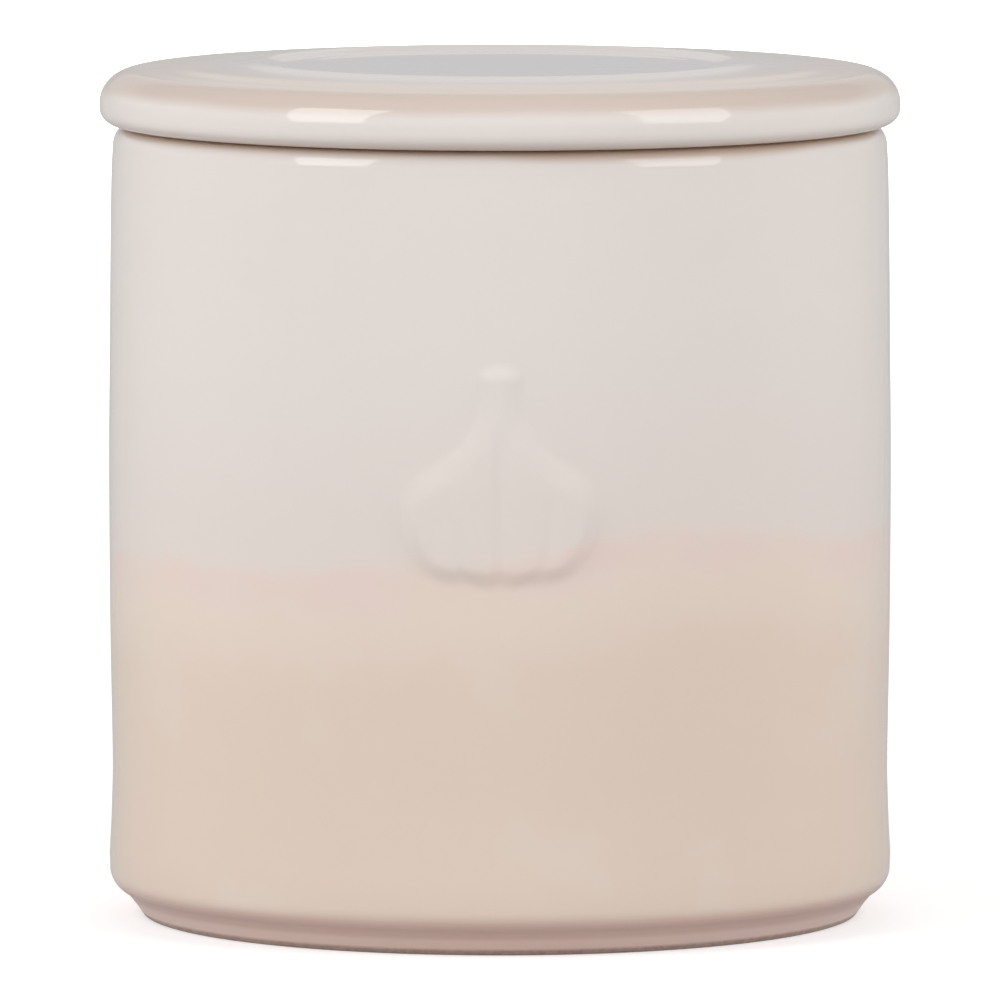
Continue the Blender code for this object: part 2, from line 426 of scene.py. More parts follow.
def jar_angles(radius):
    """Angles once round the jar from the bulb's left edge, closer together across the bulb."""
    front = (BULB_HALF_WIDTH + BULB_MARGIN) / radius
    fine = round(2 * front * radius / FINE_STEP)
    coarse = math.ceil((2 * math.pi - 2 * front) / TURN_STEP)
    angles = [-front + 2 * front * step / fine for step in range(fine)]
    return angles + [front + (2 * math.pi - 2 * front) * step / coarse for step in range(coarse)]


def side_radius(jar, z):
    """Outer radius of the jar's side at a height."""
    top = jar.height - LIP_DROP
    return jar.radius - SIDE_DRAW * eased(SIDE_SHARES, (z - SHOULDER_TOP) / (top - SHOULDER_TOP))


def side_heights(jar):
    """Heights up the jar's side between shoulder and lip, closer together beside the bulb and the vents."""
    bulb_low, bulb_high = BULB_BASE_Z - BULB_MARGIN, BULB_BASE_Z + BULB_HEIGHT + BULB_MARGIN
    stretches = (
        (SHOULDER_TOP, bulb_low, SIDE_STEP),
        (bulb_low, bulb_high, FINE_STEP),
        (bulb_high, jar.height - LIP_DROP, SIDE_STEP),
    )
    heights = []
    for start, end, step in stretches:
        count = math.ceil((end - start) / step)
        heights += [start + (end - start) * place / count for place in range(count)]
    return heights[1:]


def jar_outline(jar):
    """From the middle of the underside, round the foot, up the side, over the lip and down to the floor."""
    centre = (side_radius(jar, SHOULDER_TOP) - SHOULDER_RUN, SHOULDER_TOP)
    sweep_start = -math.degrees(SHOULDER_SWEEP)
    shoulder = arc(centre, SHOULDER_RUN, SHOULDER_RISE, sweep_start, 0, SHOULDER_STEPS)
    drop = shoulder[0][1] - jar.foot_height
    foot_top = (shoulder[0][0] - drop * math.tan(SHOULDER_SWEEP), jar.foot_height)
    foot_out = (foot_top[0] - FOOT_TAPER, 0.0)
    foot_in = (foot_out[0] - jar.foot_width, 0.0)
    recess = (foot_in[0] - FOOT_INNER_TAPER, jar.recess)
    foot_side = bend(foot_out, foot_top, shoulder[0], FOOT_SIDE_STEPS)[2:]  # the round edge ends there
    outline = [(0.0, jar.recess)]
    outline += rounded(outline[0], recess, foot_in, RECESS_ROUND)
    outline += rounded(recess, foot_in, foot_out, FOOT_ROUND)
    outline += rounded(foot_in, foot_out, foot_side[0], FOOT_ROUND)
    outline += foot_side[:-1] + shoulder
    heights = side_heights(jar)
    outline += [(side_radius(jar, z), z) for z in heights]
    side_top = jar.height - LIP_DROP
    lip_out = (side_radius(jar, side_top) - LIP_RUN, side_top)
    outline += arc(lip_out, LIP_RUN, LIP_DROP, 0, 90, LIP_STEPS)
    inside = jar.radius - jar.wall
    lip_centre = (inside + LIP_INNER_ROUND, jar.height - LIP_INNER_ROUND)
    outline += arc(lip_centre, LIP_INNER_ROUND, LIP_INNER_ROUND, 90, 180, SMALL_ROUND_STEPS)
    floor_z = jar.recess + jar.floor
    fillet_top = floor_z + INNER_FILLET
    outline += [(inside, z) for z in reversed(heights) if fillet_top < z < lip_centre[1]]
    fillet = (inside - INNER_FILLET, fillet_top)
    outline += arc(fillet, INNER_FILLET, INNER_FILLET, 0, -90, FLOOR_FILLET_STEPS)
    outline.append((0.0, floor_z))
    return supported(outline)


def bulb_side():
    """Points up the right edge of the bulb, as distances from its middle, and heights."""
    count = round(BULB_HEIGHT / FINE_STEP)
    shares = [row / count for row in range(count + 1)]
    return [(BULB_HALF_WIDTH * eased(BULB_SHARES, up), BULB_BASE_Z + BULB_HEIGHT * up) for up in shares]


def distance_to(line, place, z):
    """The distance from a place to the nearest stretch of a line of points."""
    nearest = math.inf
    for (start, start_z), (end, end_z) in zip(line, line[1:]):
        run, rise = end - start, end_z - start_z
        along = ((place - start) * run + (z - start_z) * rise) / (run * run + rise * rise)
        along = min(max(along, 0.0), 1.0)
        nearest = min(nearest, math.hypot(place - start - run * along, z - start_z - rise * along))
    return nearest


def bulb_rise(jar, bulb_edge, across, z):
    """How far the bulb stands out of the jar's side, at a distance across its front and a height."""
    up = (z - BULB_BASE_Z) / BULB_HEIGHT
    half = BULB_HALF_WIDTH * eased(BULB_SHARES, up)
    side_gap = distance_to(bulb_edge, abs(across), z) if abs(across) < half else 0.0
    side = side_gap / eased(BULB_EDGES, up)
    clove = min(max((across / half + 1) / 2, 0.0), 1.0) * CLOVES
    belly = math.sin(math.pi * (clove % 1))
    low = (z - BULB_BASE_Z - SCALLOP * (1 - belly)) / BULB_LOW_EDGE
    top = (BULB_BASE_Z + BULB_HEIGHT - z) / BULB_TOP_EDGE
    slope = soft_step(soft_least(soft_least(side, low, BULB_CORNER), top, BULB_CORNER))
    stem = soft_step((up - STEM_START) / (STEM_FULL - STEM_START))
    clove_edge = min(max(round(clove), 1), CLOVES - 1) * 2 / CLOVES - 1
    clove_groove = (across - half * clove_edge) / GROOVE_HALF_WIDTH
    stem_groove = (abs(across) - half * STEM_GROOVE_SHARE) / GROOVE_HALF_WIDTH
    clove_share = 1 - (1 - SIDE_GROOVE_SHARE) * abs(clove_edge) * 2
    groove = math.exp(-(clove_groove**2)) * clove_share * (1 - stem) + math.exp(-(stem_groove**2)) * stem
    rise = jar.bulb_rise * (1 - (1 - STEM_RISE_SHARE) * stem)
    return (rise - GROOVE_DEPTH * groove) * slope


def raise_bulb(jar, outline, rings, angles):
    """Moves the vertices at the front of the jar's side outwards to form the bulb."""
    reach = BULB_HALF_WIDTH / jar.radius
    bulb_edge = bulb_side()
    for (radius, z), ring in zip(outline, rings):
        if radius > jar.radius - jar.wall and BULB_BASE_Z < z < BULB_BASE_Z + BULB_HEIGHT:
            for angle, vertex in zip(angles, ring):
                if abs(angle) < reach:
                    out = radius + bulb_rise(jar, bulb_edge, angle * jar.radius, z)
                    vertex.co = (out * math.sin(angle), -out * math.cos(angle), z)


def vent_places():
    """Where the vent holes go, as distances across the back, and heights."""
    places = []
    for row, count in enumerate(VENT_ROW_COUNTS):
        z = VENT_LOW_ROW_Z + row * VENT_ROW_RISE
        places += [((hole - (count - 1) / 2) * VENT_PITCH, z) for hole in range(count)]
    return places


def vent_block(jar, outline, angles, x, z):
    """The cells round a vent hole: its columns, its rows on the outside and its rows on the inside."""
    reach = jar.vent_radius + VENT_ROUND + VENT_MARGIN
    inside = jar.radius - jar.wall
    back = [column for column, angle in enumerate(angles) if math.cos(angle) < 0]
    spans = {c: sorted((inside * math.sin(angles[c]), jar.radius * math.sin(angles[c]))) for c in back}
    first = max(column for column in back if spans[column][0] >= x + reach)
    last = min(column for column in back if spans[column][1] <= x - reach)
    faces = []
    for outer in (True, False):
        rows = [r for r, point in enumerate(outline) if (point[0] > inside + jar.wall / 2) == outer]
        rows = [r for r in rows if abs(outline[r][1] - z) < 2 * reach]
        low = max((r for r in rows if outline[r][1] <= z - reach), key=lambda r: outline[r][1])
        high = min((r for r in rows if outline[r][1] >= z + reach), key=lambda r: outline[r][1])
        faces.append((low, high))
    return (first, last), faces[0], faces[1]


def block_border(rings, columns, rows):
    """The vertices round a block of cells, in order: along its low row, and back along its high row."""
    (first, last), (low, high) = columns, rows
    step = 1 if high > low else -1
    border = [rings[low][column] for column in range(first, last)]
    border += [rings[row][last] for row in range(low, high, step)]
    border += [rings[high][column] for column in range(last, first, -1)]
    return border + [rings[row][first] for row in range(high, low, -step)]


def vent_face(work, jar, border, turns, x, z, outer):
    """Rings of vertices from a block's border to a vent hole's rounded edge, on one face of the wall."""
    inward = -1 if outer else 1
    wide = jar.vent_radius + VENT_ROUND
    loops = [border]
    plans = [(step / PATCH_STEPS, wide, 0.0) for step in range(1, PATCH_STEPS + 1)]
    for step in range(1, ROUND_STEPS + 1):
        angle = math.pi / 2 * step / ROUND_STEPS
        plans.append((1.0, wide - VENT_ROUND * math.sin(angle), VENT_ROUND * (1 - math.cos(angle))))
    for share, radius, depth in plans:
        loop = []
        for vertex, turn in zip(border, turns):
            ring_x = x + radius * math.cos(turn)
            ring_z = z + radius * math.sin(turn)
            place_x = vertex.co.x + (ring_x - vertex.co.x) * share
            place_z = vertex.co.z + (ring_z - vertex.co.z) * share
            wall_radius = side_radius(jar, place_z) if outer else jar.radius - jar.wall
            place_y = math.sqrt(wall_radius**2 - place_x**2) + inward * depth
            loop.append(work.verts.new((place_x, place_y, place_z)))
        loops.append(loop)
    return loops


def cut_vent(work, jar, outline, rings, angles, x, z):
    """Lines one vent hole through the wall, and returns the cells of the rings that it takes the place of."""
    columns, outer_rows, inner_rows = vent_block(jar, outline, angles, x, z)
    outer_border = block_border(rings, columns, outer_rows)
    inner_border = block_border(rings, columns, inner_rows)
    turns = [math.atan2(vertex.co.z - z, vertex.co.x - x) for vertex in outer_border]
    outer = vent_face(work, jar, outer_border, turns, x, z, True)
    inner = vent_face(work, jar, inner_border, turns, x, z, False)
    bore = []
    for step in range(1, BORE_STEPS):
        pairs = zip(outer[-1], inner[-1])
        bore.append([work.verts.new(a.co.lerp(b.co, step / BORE_STEPS)) for a, b in pairs])
    skin(work, outer + bore + inner[::-1])
    taken = set()
    for rows in (outer_rows, inner_rows):
        for row in range(min(rows), max(rows)):
            taken.update((row, column) for column in range(*columns))
    return taken


def lid_outline(lid):
    """From the middle of the top, over the rings, round the rim, in along the seat and round the collar."""
    crest = lid.seat + lid.thickness
    level = crest + lid.ring_rise * RING_SHARES[0][1]
    start, end = RING_SHARES[1][0] * lid.radius, RING_SHARES[-1][0] * lid.radius
    count = math.ceil((end - start) / RING_STEP)
    outline = [(0.0, level)]
    for step in range(count + 1):
        radius = start + (end - start) * step / count
        outline.append((radius, crest + lid.ring_rise * eased(RING_SHARES, radius / lid.radius)))
    rim_top = (lid.radius - RIM_TOP_RUN, crest - RIM_TOP_DROP)
    outline += arc(rim_top, RIM_TOP_RUN, RIM_TOP_DROP, RIM_START, 0, RIM_TOP_STEPS)
    rim_low = (lid.radius - RIM_LOW_RUN, lid.seat + RIM_LOW_RISE)
    outline += arc(rim_low, RIM_LOW_RUN, RIM_LOW_RISE, 0, -90, RIM_LOW_STEPS)
    collar_z = lid.seat - COLLAR_DEPTH
    collar_in = lid.collar_radius - lid.collar_wall
    roof = level - lid.plate
    collar_out = (lid.collar_radius, lid.seat)
    outline += rounded(outline[-1], collar_out, (lid.collar_radius, collar_z), COLLAR_ROOT)
    outer_edge = (lid.collar_radius - COLLAR_ROUND, collar_z + COLLAR_ROUND)
    outline += arc(outer_edge, COLLAR_ROUND, COLLAR_ROUND, 0, -90, SMALL_ROUND_STEPS)
    inner_edge = (collar_in + COLLAR_ROUND, collar_z + COLLAR_ROUND)
    outline += arc(inner_edge, COLLAR_ROUND, COLLAR_ROUND, 270, 180, SMALL_ROUND_STEPS)
    root = (collar_in - COLLAR_FILLET, roof - COLLAR_FILLET)
    outline += arc(root, COLLAR_FILLET, COLLAR_FILLET, 0, 90, SMALL_ROUND_STEPS)
    outline.append((0.0, roof))
    return supported(outline)


def new_material(name):
    """An empty node material, and its tree."""
    material = bpy.data.materials.new(name)
    material.use_nodes = True
    material.node_tree.nodes.clear()
    return material, material.node_tree


def add(tree, kind, inputs=None, **settings):
    """A shader node with its settings and inputs. An input is a value, or the socket that feeds it."""
    made = tree.nodes.new("ShaderNode" + kind)
    for name, value in settings.items():
        setattr(made, name, value)
    for key, value in (inputs or {}).items():
        if isinstance(value, bpy.types.NodeSocket):
            tree.links.new(value, made.inputs[key])
        else:
            made.inputs[key].default_value = value
    return made


def maths(tree, operation, first, second=0.0):
    """The result of a sum or other operation on one or two values."""
    return add(tree, "Math", {0: first, 1: second}, operation=operation).outputs[0]


def both(tree, first, second):
    """The product of two shares: where both of them are."""
    return maths(tree, "MULTIPLY", first, second)


def ramp(tree, value, low, high, to_low=0.0, to_high=1.0):
    """A value's smooth change from one level to another as it goes from low to high."""
    ends = {"Value": value, "From Min": low, "From Max": high, "To Min": to_low, "To Max": to_high}
    return add(tree, "MapRange", ends, interpolation_type="SMOOTHSTEP").outputs["Result"]


def blend(tree, share, first, second):
    """One colour where the share is 0 and the other where it is 1."""
    return add(tree, "Mix", {0: share, 6: first, 7: second}, data_type="RGBA").outputs[2]


def cloud(tree, place, size, detail=2.0, offset=0.0):
    """Soft random variation between 0 and 1 over patches of about this size."""
    moved = add(tree, "VectorMath", {0: place, 1: (offset, offset, offset)}, operation="ADD")
    inputs = {"Vector": moved.outputs[0], "Scale": 1 / size, "Detail": detail, "Roughness": 0.5}
    return add(tree, "TexNoise", inputs).outputs["Fac"]


def wander(tree, place, size, reach):
    """A length that drifts by about this reach to either side of zero over patches of this size."""
    centred = maths(tree, "SUBTRACT", cloud(tree, place, size), 0.5)
    return maths(tree, "MULTIPLY", centred, reach * DRIFT_GAIN)


def place_on_piece(tree):
    """A point's place, its distance from the axis and its height."""
    place = add(tree, "TexCoord").outputs["Object"]
    split = add(tree, "SeparateXYZ", {0: place})
    level = add(tree, "CombineXYZ", {0: split.outputs["X"], 1: split.outputs["Y"]})
    radius = add(tree, "VectorMath", {0: level.outputs[0]}, operation="LENGTH").outputs["Value"]
    return place, radius, split.outputs["Z"]


def fired_surface(tree, glaze, place, colour, bare, dull, waviness):
    """Glossy glaze of that colour with faint waves, duller where it thins, and matt grainy bare clay."""
    specks = ramp(tree, cloud(tree, place, *CLAY_CLOUD), *CLAY_LEVELS)
    clay = blend(tree, specks, glaze.clay, glaze.clay_grain)
    gloss_cloud = cloud(tree, place, *GLOSS_CLOUD)
    gloss = ramp(tree, gloss_cloud, *GLOSS_LEVELS, glaze.gloss_low, glaze.gloss_high)
    waves = maths(tree, "MULTIPLY", cloud(tree, place, *WAVE_CLOUD), glaze.wave_depth * waviness)
    peel = maths(tree, "MULTIPLY", cloud(tree, place, *PEEL_CLOUD), glaze.peel_depth * waviness)
    grain = maths(tree, "MULTIPLY", cloud(tree, place, *GRAIN_CLOUD), glaze.grain_depth)
    relief = maths(tree, "ADD", maths(tree, "ADD", waves, peel), maths(tree, "MULTIPLY", grain, bare))
    bump = add(tree, "Bump", {"Height": relief, "Distance": 1.0})
    inputs = {
        "Base Color": blend(tree, bare, colour, clay),
        "Roughness": maths(tree, "ADD", gloss, maths(tree, "MULTIPLY", dull, BARE_ROUGHNESS)),
        "Normal": bump.outputs[0],
        "IOR": 1.5,
    }
    shader = add(tree, "BsdfPrincipled", inputs)
    add(tree, "OutputMaterial", {"Surface": shader.outputs[0]})


def jar_glaze(glaze, jar):
    """Pearl glaze above that fades unevenly to peach below, cream inside, and bare clay under the foot. The
    brown band on the lip, the rose brown on the shoulder's underside and the dark bare clay at the foot's
    edge also paint shade.
    """
    material, tree = new_material("jar_glaze")
    place, radius, z = place_on_piece(tree)
    drift = maths(tree, "ADD", wander(tree, place, *SLOW_DRIFT), wander(tree, place, *QUICK_DRIFT))
    across = add(tree, "SeparateXYZ", {0: place}).outputs["X"]
    climb = ramp(tree, across, *FADE_CLIMBS, 0.0, FADE_CLIMB)
    climb = maths(tree, "MULTIPLY", climb, ramp(tree, across, *FADE_SINKS, 1.0, FADE_EDGE_SHARE))
    height = maths(tree, "ADD", z, maths(tree, "SUBTRACT", drift, climb))
    half = glaze.fade / 2
    upper = ramp(tree, height, glaze.fade_height - half, glaze.fade_height + half)
    peach = blend(tree, ramp(tree, height, *PEACH_HEIGHTS), glaze.peach, glaze.peach_light)
    pearl = blend(tree, ramp(tree, height, glaze.fade_height, PEARL_HEIGHT), glaze.pearl_low, glaze.pearl)
    colour = blend(tree, upper, peach, pearl)
    below = maths(tree, "SUBTRACT", glaze.fade_height, height)
    near_fade = both(tree, ramp(tree, below, *BLUSH_COMES), ramp(tree, below, *BLUSH_GOES, 1.0, 0.0))
    blush = both(tree, near_fade, ramp(tree, cloud(tree, place, *BLUSH_CLOUD), *BLUSH_LEVELS))
    colour = blend(tree, blush, colour, glaze.blush)
    creamy = ramp(tree, cloud(tree, place, *CREAM_CLOUD), *CREAM_LEVELS)
    colour = blend(tree, creamy, colour, glaze.cream)
    rose_low, rose_high = (SHOULDER_TOP * share for share in ROSE_SHARES)
    thin = ramp(tree, z, rose_low, rose_high, ROSE_WEIGHT, 0.0)
    colour = blend(tree, thin, colour, glaze.rose)
    # Rose brown is darker: partly the thinnest glaze, partly painted shade on the shoulder's underside, where
    # it meets the foot.
    brown_low, brown_high = (jar.foot_height * share for share in ROSE_BROWN_AND_SHADE_SHARES)
    thinnest_and_shaded = both(tree, thin, ramp(tree, z, brown_low, brown_high))
    colour = blend(tree, thinnest_and_shaded, colour, glaze.rose_brown_and_shade)
    cream_in, cream_out = (jar.radius - jar.wall + past for past in CREAM_ENDS)
    cream_low, cream_high = ((jar.recess + jar.floor) * share for share in CREAM_FLOOR_SHARES)
    inner = ramp(tree, radius, cream_in, cream_out, 1.0, 0.0)
    inner = both(tree, inner, ramp(tree, z, cream_low, cream_high))
    colour = blend(tree, inner, colour, glaze.cream)
    # Brown band on the lip: partly glaze that thins there, partly painted shade under the lid's rim; right of
    # the middle it widens with painted shade alone.
    shade_widening = both(tree, ramp(tree, across, *LIP_SHADE_WIDENS), ramp(tree, across, *LIP_SHADE_NARROWS, 1.0, 0.0))
    band_low = ramp(tree, shade_widening, 0.0, 1.0, jar.height - LIP_BROWN_AND_SHADE, jar.height - WIDE_LIP_PAINTED_SHADE)
    band_side = jar.radius - LIP_RUN
    outer = ramp(tree, radius, band_side - BAND_INNER_WIDTH, band_side)
    seam = both(tree, ramp(tree, z, band_low, jar.height), outer)
    colour = blend(tree, seam, colour, glaze.seam)
    # Bare clay at the foot's lower edge, dark enough to also paint the contact shadow on the table.
    bare = ramp(tree, z, *BARE_FOOT_AND_CONTACT_SHADE, 1.0, 0.0)
    dull = maths(tree, "MAXIMUM", bare, both(tree, thin, THIN_DULL_SHARE))
    fired_surface(tree, glaze, place, colour, bare, dull, 1.0)
    return material


def lid_glaze(glaze, lid):
    """Silvery glaze in the middle, then pearl, peach and a pearl rim, cream below, a bare collar edge, and a
    tint under the rim that is partly painted shade.
    """
    material, tree = new_material("lid_glaze")
    place, radius, z = place_on_piece(tree)
    drift = wander(tree, place, *LID_DRIFT)
    out = maths(tree, "ADD", radius, drift)
    height = maths(tree, "ADD", z, drift)
    crest = lid.seat + lid.thickness
    light_start, light_full, peach_start, peach_full = (lid.radius * share for share in PEACH_SHARES)
    edge_low, edge_high = (crest - depth for depth in PEARL_EDGE)
    edge = ramp(tree, height, edge_low, edge_high, 1.0, 0.0)
    ring_start, ring_full = (lid.radius * RING_SHARES[row][0] for row in (1, 3))
    stepped = ramp(tree, out, ring_start, ring_full)
    middle = blend(tree, stepped, glaze.silver, glaze.pearl)
    colour = blend(tree, ramp(tree, out, light_start, light_full), middle, glaze.peach_light)
    colour = blend(tree, ramp(tree, out, peach_start, peach_full), colour, glaze.lid_peach)
    colour = blend(tree, edge, colour, glaze.pearl)
    # Tint under the rim: partly thin glaze, partly painted shade in the gap over the jar's lip.
    seam = ramp(tree, z, lid.seat, lid.seat + RIM_BROWN_AND_SHADE, RIM_BROWN_AND_SHADE_WEIGHT, 0.0)
    colour = blend(tree, seam, colour, glaze.rim_thin_glaze_and_shade)
    inside = ramp(tree, radius, lid.collar_radius, lid.collar_radius + CREAM_PAST_COLLAR, 1.0, 0.0)
    cream_low, cream_high = (lid.seat + lid.thickness * share for share in CREAM_UP_SHARES)
    under = ramp(tree, z, cream_low, cream_high, 1.0, 0.0)
    colour = blend(tree, both(tree, inside, under), colour, glaze.cream)
    bare_low, bare_high = (lid.seat - COLLAR_DEPTH + height for height in BARE_COLLAR)
    bare = ramp(tree, z, bare_low, bare_high, 1.0, 0.0)
    fired_surface(tree, glaze, place, colour, bare, bare, LID_WAVES)
    return material


def floor_paint(studio):
    """Pale paint that carries shadows. It fills up to white where it is seen, and shows from above only."""
    material, tree = new_material("studio_floor")
    place = add(tree, "TexCoord").outputs["Object"]
    away = add(tree, "VectorMath", {0: place}, operation="LENGTH").outputs["Value"]
    rays = add(tree, "LightPath").outputs
    mirrored = maths(tree, "MAXIMUM", rays["Is Glossy Ray"], rays["Is Transmission Ray"])
    seen = maths(tree, "MAXIMUM", rays["Is Camera Ray"], mirrored)
    fill = ramp(tree, away, *FLOOR_FILLS, studio.floor_fill, 1.0)
    glow = add(tree, "Emission", {"Strength": both(tree, seen, fill)})
    paint = add(tree, "BsdfDiffuse", {"Color": studio.floor_colour})
    top = add(tree, "AddShader", {0: paint.outputs[0], 1: glow.outputs[0]})
    clear = add(tree, "BsdfTransparent")
    under = add(tree, "NewGeometry").outputs["Backfacing"]
    sides = add(tree, "MixShader", {0: under, 1: top.outputs[0], 2: clear.outputs[0]})
    add(tree, "OutputMaterial", {"Surface": sides.outputs[0]})
    return material


def make_floor(studio):
    """A wide level disc."""
    work = bmesh.new()
    bmesh.ops.create_circle(work, cap_ends=True, segments=FLOOR_SIDES, radius=studio.floor_radius)
    mesh = bpy.data.meshes.new("studio_floor")
    work.to_mesh(mesh)
    work.free()
    mesh.materials.append(floor_paint(studio))
    floor = bpy.data.objects.new("studio_floor", mesh)
    bpy.context.scene.collection.objects.link(floor)


def make_edge_card(studio):
    """A grey dish round the keeper that only its glaze reflects, so that its pale sides show on white."""
    material, tree = new_material("edge_card")
    glow = add(tree, "Emission", {"Color": studio.card_colour})
    add(tree, "OutputMaterial", {"Surface": glow.outputs[0]})
    work = bmesh.new()
    angles = [2 * math.pi * side / CARD_SIDES for side in range(CARD_SIDES)]
    edge = studio.card_radius
    outline = ((CARD_HOLE, FLOOR_CLEARANCE), (edge, FLOOR_CLEARANCE), (edge, studio.card_height))
    skin(work, turned_rings(work, outline, angles))
    mesh = bpy.data.meshes.new("edge_card")
    work.to_mesh(mesh)
    work.free()
    mesh.materials.append(material)
    card = bpy.data.objects.new("edge_card", mesh)
    card.visible_camera = False
    card.visible_diffuse = False
    card.visible_transmission = False
    card.visible_volume_scatter = False
    card.visible_shadow = False
    bpy.context.scene.collection.objects.link(card)


def aim(thing, target, turn, rise, distance, roll=0.0):
    """Places a thing at a turn from the front and a rise above level, facing the target."""
    level = distance * math.cos(rise)
    away = Vector((level * math.sin(turn), -level * math.cos(turn), distance * math.sin(rise)))
    thing.location = Vector(target) + away
    facing = (-away).to_track_quat("-Z", "Y") @ Quaternion((0.0, 0.0, 1.0), roll)
    thing.rotation_euler = facing.to_euler()


def make_lamp(name, brightness, size, mirrored=True):
    """A rectangular lamp of an even brightness, which the camera doesn't see."""
    lamp = bpy.data.lights.new(name, "AREA")
    lamp.shape = "RECTANGLE"
    lamp.size, lamp.size_y = size
    lamp.energy = brightness * math.pi * size[0] * size[1]
    box = bpy.data.objects.new(name, lamp)
    box.visible_camera = False
    box.visible_glossy = mirrored
    bpy.context.scene.collection.objects.link(box)
    return box


def make_sky(studio):
    """Even light from all round that grows from the horizon to overhead."""
    sky = bpy.data.worlds.new("studio_sky")
    sky.use_nodes = True
    tree = sky.node_tree
    tree.nodes.clear()
    place = add(tree, "TexCoord").outputs["Generated"]
    up = add(tree, "SeparateXYZ", {0: place}).outputs["Z"]
    colour = blend(tree, ramp(tree, up, *SKY_GROWS), studio.horizon, studio.overhead)
    low = both(tree, ramp(tree, up, *LOW_SKY_COMES), ramp(tree, up, *LOW_SKY_GOES, 1.0, 0.0))
    colour = blend(tree, low, colour, studio.low_sky)
    light = add(tree, "Background", {"Color": colour})
    add(tree, "OutputWorld", {"Surface": light.outputs[0]})
    bpy.context.scene.world = sky


def make_camera(studio):
    """A long lens a little above the keeper, level with its middle."""
    lens = bpy.data.cameras.new("studio_camera")
    lens.lens = studio.lens
    lens.sensor_width = SENSOR_WIDTH
    lens.clip_end = FAR_END
    camera = bpy.data.objects.new("studio_camera", lens)
    bpy.context.scene.collection.objects.link(camera)
    aim(camera, (0.0, 0.0, studio.aim_height), 0.0, studio.camera_rise, studio.camera_distance)
    bpy.context.scene.camera = camera


def length_setting(name, description, default, precision=4):
    """A setting in metres, shown with this many decimals."""
    return FloatProperty(
        name=name, description=description, default=default, unit="LENGTH", precision=precision
    )


def angle_setting(name, description, degrees):
    """A setting for an angle, with its default in degrees."""
    return FloatProperty(
        name=name, description=description, default=math.radians(degrees), unit="ROTATION"
    )


def colour_setting(name, description, red, green, blue):
    """A setting for a colour, with its default as a screen shows it."""
    return FloatVectorProperty(
        name=name,
        description=description,
        subtype="COLOR",
        size=4,
        min=0.0,
        max=1.0,
        default=glaze_colour(red, green, blue),
    )


class JarSettings(PropertyGroup):
    radius: length_setting("Radius", "Widest radius of the jar", JAR_TOP.x)
    height: length_setting("Height", "From the table to the lip", JAR_TOP.z)
    wall: length_setting("Wall", "Thickness of the side", 0.0057)
    floor: length_setting("Floor", "Thickness of the bottom", 0.0055)
    recess: length_setting("Recess", "Depth of the hollow inside the foot ring", 0.0020)
    foot_height: length_setting("Foot height", "Height where the foot meets the side", 0.0034)
    foot_width: length_setting("Foot width", "Width of the ring that stands on the table", 0.0042)
    vent_radius: length_setting("Vent radius", "Radius of the vent holes", 0.0040)
    bulb_rise: length_setting("Bulb rise", "How far the raised bulb stands out", 0.0010)


class LidSettings(PropertyGroup):
    radius: length_setting("Radius", "Radius of the lid", LID_TOP.x)
    seat: length_setting("Seat height", "Height of the rim's underside", LID_LOW.z + COLLAR_DEPTH)
    thickness: length_setting("Thickness", "From the seat to the rim's crest", 0.0082)
    ring_rise: length_setting("Ring rise", "Height of the highest ring above the crest", 0.0013)
    plate: length_setting("Plate", "Thickness of the lid inside its collar", 0.0058)
    collar_radius: length_setting("Collar radius", "Outer radius of the collar", 0.0523)
    collar_wall: length_setting("Collar wall", "Thickness of the collar", 0.0040)


class GlazeSettings(PropertyGroup):
    pearl: colour_setting("Pearl", "Upper part of the jar and edge of the lid", 223, 216, 211)
    pearl_low: colour_setting("Low pearl", "Pearl just above the fade", 222, 212, 206)
    peach_light: colour_setting("Light peach", "Just below the fade", 225, 209, 196)
    peach: colour_setting("Peach", "Lower part of the jar", 221, 203, 188)
    lid_peach: colour_setting("Lid peach", "Ring on the lid", 207, 191, 180)
    rose: colour_setting("Rose", "Glaze that thins over the foot", 227, 201, 191)
    # Rose brown is partly the thinnest glaze and partly painted shade on the shoulder's underside.
    rose_brown_and_shade: colour_setting("Rose brown", "Thinnest glaze, where the foot meets the side", 209, 179, 168)
    # The brown of the lip band and the tint under the lid's rim are partly thin glaze and partly painted
    # shade where lid and jar meet.
    seam: colour_setting("Seam", "Glaze that thins on the lip", 198, 172, 152)
    rim_thin_glaze_and_shade: colour_setting("Rim seam", "Glaze that thins under the lid's rim", 197, 180, 170)
    blush: colour_setting("Blush", "Pink tint under the fade", 226, 206, 199)
    silver: colour_setting("Silver", "Cool tint in the middle of the lid", 220, 215, 215)
    cream: colour_setting("Cream", "Warm tint, and the glaze inside", 222, 214, 204)
    # Bare clay and its grains are darkened so that at the foot's lower edge they also paint the contact
    # shadow on the table.
    clay: colour_setting("Clay", "Bare fired clay", 176, 151, 140)
    clay_grain: colour_setting("Clay grain", "Darker grains in the bare clay", 160, 136, 125)
    fade_height: length_setting("Fade height", "Where pearl meets peach at the left", 0.0561)
    fade: length_setting("Fade", "Height over which they blend", 0.0052)
    gloss_low: FloatProperty(name="Least roughness", description="Of the glossiest glaze", default=0.02)
    gloss_high: FloatProperty(name="Most roughness", description="Of the softest glaze", default=0.05)
    wave_depth: length_setting("Wave depth", "Slow waves in the glaze", 0.00004, 6)
    peel_depth: length_setting("Peel depth", "Fine unevenness of the glaze", 0.000003, 6)
    grain_depth: length_setting("Grain depth", "Roughness of the bare clay", 0.00006, 6)


